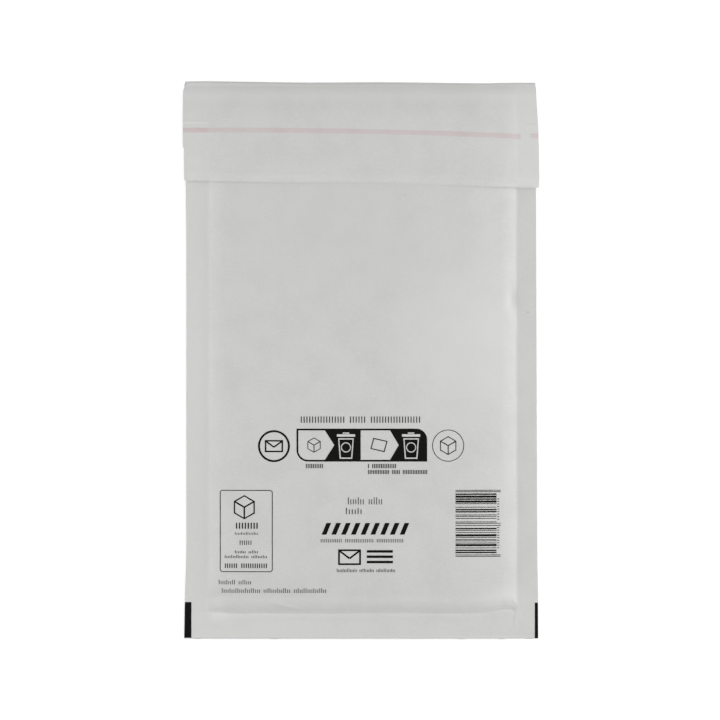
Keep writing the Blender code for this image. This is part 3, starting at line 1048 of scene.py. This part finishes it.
def print_frame(bm, left, right, top, bottom, weight, radius=0.0):
    outer = rounded(bar(left, right, top, bottom), (radius,) * 4)
    inner_radius = max(radius - weight, 0.0)
    inner = rounded(bar(left + weight, right - weight, top - weight, bottom + weight), (inner_radius,) * 4)
    print_shape(bm, outer, inner)


def print_letter(bm, x, y, width, height, weight):
    """A closed letter in line."""
    print_frame(bm, x - width / 2, x + width / 2, y + height / 2, y - height / 2, weight)
    for side in (weight - width / 2, width / 2 - weight):
        print_line(bm, (x + side, y + height / 2 - weight), (x, y - height * 0.08), weight)


bm = bmesh.new()
print_carton(bm, -0.0186, -0.0334, 0.0030, 0.00035)
sheet_corners = [(0.0036, -0.0349), (0.0092, -0.0362), (0.0104, -0.0318), (0.0048, -0.0305)]
sheet_inner = [(0.0041, -0.0346), (0.0089, -0.0357), (0.0099, -0.0321), (0.0051, -0.0310)]
print_shape(bm, sheet_corners, sheet_inner)
print_shape(bm, circle(*LEFT_RING, RING_RADIUS), circle(*LEFT_RING, 0.0055))
print_letter(bm, *LEFT_RING, 0.0072, 0.0048, 0.0006)
print_shape(bm, circle(*RIGHT_RING, RING_RADIUS), circle(*RIGHT_RING, 0.00602))
print_carton(bm, *RIGHT_RING, 0.0037, 0.0004)
print_frame(bm, -0.0558, -0.0349, -0.0511, -0.0835, 0.00032, 0.0011)
print_carton(bm, -0.0461, -0.0579, 0.0048, 0.0006)
lay_print("print_drawings", bm)

# %% [markdown]
# ## Rows of ticks
#
# Small type is drawn as rows of upright ticks, grouped like words. From a step away they have its weight
# and its colour, and they say nothing.

# %% Print the rows
SHORT_TICK = 0.74  # height of a short tick, beside a tall one's 1
TICK_ORDER = "tssstsst"  # tall and short ticks, in an order that stands for nothing


def print_row(bm, left, right, top, bottom, words, weight=0.40, even=False):
    """Ticks in groups of these lengths, spread evenly between left and right."""
    pitch = (right - left) / (sum(words) + 1.4 * (len(words) - 1) - (1 - weight))
    x = left
    for group, length in enumerate(words):
        for k in range(length):
            short = not even and TICK_ORDER[(group * 5 + k) % len(TICK_ORDER)] == "s"
            height = (top - bottom) * (SHORT_TICK if short else 1.0)
            print_shape(bm, bar(x, x + pitch * weight, bottom + height, bottom))
            x += pitch
        x += pitch * 1.4


bm = bmesh.new()
print_row(bm, -0.0238, 0.0232, -0.0221, -0.0246, (16, 6, 18), 0.34, even=True)
print_row(bm, -0.0218, -0.0151, -0.0408, -0.0425, (10,), 0.52, even=True)
print_row(bm, 0.0027, 0.0137, -0.0408, -0.0425, (1, 14), 0.52, even=True)
print_row(bm, 0.0027, 0.0260, -0.0432, -0.0448, (13, 5, 15), 0.52, even=True)
print_row(bm, -0.0494, -0.0408, -0.0640, -0.0664, (8,), 0.44, even=True)
print_row(bm, -0.0498, -0.0408, -0.0677, -0.0688, (15,), 0.34)
print_row(bm, -0.0479, -0.0433, -0.0710, -0.0728, (6,), 0.34, even=True)
print_row(bm, -0.0498, -0.0408, -0.0749, -0.0761, (7, 6), 0.40)
print_row(bm, -0.0538, -0.0372, -0.0768, -0.0780, (15, 10), 0.40)
print_row(bm, -0.0538, -0.0372, -0.0801, -0.0819, (6, 12), 0.46, even=True)
print_row(bm, -0.0562, -0.0435, -0.0866, -0.0884, (9, 7), 0.34)
print_row(bm, -0.0550, -0.0139, -0.0899, -0.0918, (20, 14, 17), 0.34)
print_row(bm, -0.0052, 0.0082, -0.0540, -0.0568, (7, 6), 0.30)
print_row(bm, -0.0060, 0.0001, -0.0581, -0.0606, (6,), 0.30)
print_row(bm, -0.0159, 0.0165, -0.0704, -0.0718, (12, 16, 15), 0.34, even=True)
print_row(bm, -0.0096, 0.0133, -0.0821, -0.0835, (14, 10, 13), 0.40)
lay_print("print_rows", bm)

# %% [markdown]
# ## Stripes and a letter
#
# The middle of the lower print holds a plain decoration: a row of slanted stripes, as on the edge of an
# airmail letter, and under it a closed letter with three short address lines.

# %% Print the decoration
STRIPE_LEFT = -0.0156
STRIPE_PITCH = 0.00385
STRIPE_WIDTH = 0.00185
STRIPE_SLANT = 0.0019
STRIPE_TOP = -0.0641
STRIPE_BOTTOM = -0.0687
bm = bmesh.new()
for k in range(9):
    left = STRIPE_LEFT + k * STRIPE_PITCH
    right = left + STRIPE_WIDTH
    stripe = [(left, STRIPE_BOTTOM), (right, STRIPE_BOTTOM)]
    stripe += [(right + STRIPE_SLANT, STRIPE_TOP), (left + STRIPE_SLANT, STRIPE_TOP)]
    print_shape(bm, stripe)
print_letter(bm, -0.0046, -0.0776, 0.0090, 0.0062, 0.0007)
for top in (-0.0748, -0.0769, -0.0790):
    print_shape(bm, bar(0.0022, 0.0125, top, top - 0.0010))
lay_print("print_decoration", bm)

# %% [markdown]
# ## The bar stack
#
# A block of bars stands on its side at the lower right. Its bars are of four widths in an order that
# stands for nothing, with three longer pairs, at both ends and in the middle.

# %% Print the bar stack
STACK_LEFT = 0.0372
STACK_RIGHT = 0.0534
GUARD_RIGHT = 0.0550
STACK_TOP = -0.0511
BAR_UNIT = 0.000277
BARS = "11122131213114122123111214111213211212311211121132122122111"
bm = bmesh.new()
y = STACK_TOP
for place, width in enumerate(BARS):
    length = int(width) * BAR_UNIT
    if place % 2 == 0:
        is_guard = place in (0, 2, 28, 30, len(BARS) - 3, len(BARS) - 1)
        print_shape(bm, bar(STACK_LEFT, GUARD_RIGHT if is_guard else STACK_RIGHT, y, y - length))
    y -= length
print("the stack ends at", round(y, 4))
for first in (-0.0545, -0.0658):
    for k in range(9):
        top = first - 0.0010 * k
        print_shape(bm, bar(0.0537, 0.0545, top, top - 0.0003))
lay_print("print_bar_stack", bm)

# %% [markdown]
# ## Floor, background and light
#
# The envelope was photographed in a white tent: broad soft light from both sides, a little stronger from
# the right, and low enough to catch the slopes beside the seams. The floor and the world show white to
# the camera, to gloss and to clear film, and light the object plainly.

# %% Lay the floor
def white_to_the_camera(tree):
    """1 for rays that look at the background, straight or through gloss and clear film."""
    rays = node(tree, "ShaderNodeLightPath").outputs
    seen = maths("MAXIMUM", rays["Is Camera Ray"], rays["Is Glossy Ray"])
    return maths("MAXIMUM", seen, rays["Is Transmission Ray"])


FLOOR_REACH = 2.0
NEAR_GLOW = 0.30  # the floor's glow beside the envelope
FAR_GLOW = 0.9  # and how much more it glows far away, where less light falls on it
floor_finish, tree, shader = new_finish("white_floor", (0.80, 0.80, 0.80), 0.9)
output = tree.nodes["Material Output"]
bright = node(tree, "ShaderNodeBsdfDiffuse")
bright.inputs["Color"].default_value = (0.90, 0.90, 0.90, 1.0)
glow = node(tree, "ShaderNodeEmission")
floor_place = node(tree, "ShaderNodeTexCoord").outputs["Object"]
how_far = node(tree, "ShaderNodeVectorMath", operation="LENGTH")
join(floor_place, how_far.inputs["Vector"])
far_away = ramp_between(how_far.outputs["Value"], 0.25, 0.7)
join(maths("MULTIPLY_ADD", far_away, FAR_GLOW, NEAR_GLOW), glow.inputs["Strength"])
both = node(tree, "ShaderNodeAddShader")
join(bright.outputs["BSDF"], both.inputs[0])
join(glow.outputs["Emission"], both.inputs[1])
chosen = node(tree, "ShaderNodeMixShader")
join(white_to_the_camera(tree), chosen.inputs["Fac"])
join(shader.outputs["BSDF"], chosen.inputs[1])
join(both.outputs["Shader"], chosen.inputs[2])
join(chosen.outputs["Shader"], output.inputs["Surface"])

floor_mesh = bpy.data.meshes.new("floor")
bm = bmesh.new()
bmesh.ops.create_grid(bm, x_segments=1, y_segments=1, size=FLOOR_REACH)
bm.to_mesh(floor_mesh)
bm.free()
floor_mesh.materials.append(floor_finish)
floor = bpy.data.objects.new("floor", floor_mesh)
bpy.context.scene.collection.objects.link(floor)
floor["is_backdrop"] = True
print("floor laid")

# %% Light the tent
WORLD_STRENGTH = 0.26
RIGHT_POWER = 5.3
LEFT_POWER = 4.0
WALL_AWAY = 0.60
WALL_LONG = 0.8
WALL_TALL = 0.26
WALL_CENTRE = 0.15
ROOF_POWER = 8.5
ROOF_SIZE = 0.9
ROOF_HEIGHT = 1.5

world = bpy.data.worlds.new("white_tent")
world.use_nodes = True
bpy.context.scene.world = world
tree = world.node_tree
background = tree.nodes["Background"]
background.inputs["Color"].default_value = (1.0, 1.0, 1.0, 1.0)
tent = node(tree, "ShaderNodeMapRange")
join(white_to_the_camera(tree), tent.inputs["Value"])
tent.inputs["To Min"].default_value = WORLD_STRENGTH
tent.inputs["To Max"].default_value = 1.0
join(tent.outputs["Result"], background.inputs["Strength"])


def soft_lamp(name, place, turn, size, power):
    """A large soft lamp of this size, across and up."""
    lamp_data = bpy.data.lights.new(name, "AREA")
    lamp_data.shape = "RECTANGLE"
    lamp_data.size, lamp_data.size_y = size
    lamp_data.energy = power
    lamp = bpy.data.objects.new(name, lamp_data)
    lamp.location = place
    lamp.rotation_euler = [math.radians(angle) for angle in turn]
    bpy.context.scene.collection.objects.link(lamp)
    print(name, "gives", power, "W")


wall_size = (WALL_LONG, WALL_TALL)
soft_lamp("right_wall", (WALL_AWAY, 0.0, WALL_CENTRE), (90, 0, 90), wall_size, RIGHT_POWER)
soft_lamp("left_wall", (-WALL_AWAY, 0.0, WALL_CENTRE), (90, 0, -90), wall_size, LEFT_POWER)
soft_lamp("roof", (0.0, 0.0, ROOF_HEIGHT), (0, 0, 0), (ROOF_SIZE, ROOF_SIZE), ROOF_POWER)
bpy.context.scene.view_settings.view_transform = "Standard"

# %% [markdown]
# ## The sizes
#
# The dressed envelope has to keep the solids' size, so both boxes are written down for comparison.

# %% Print the sizes
visual_box = [list(corner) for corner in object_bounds()]
for name, box in (("CAD", cad_box), ("visual", visual_box)):
    print(name, "box:", [[round(v, 4) for v in corner] for corner in box])
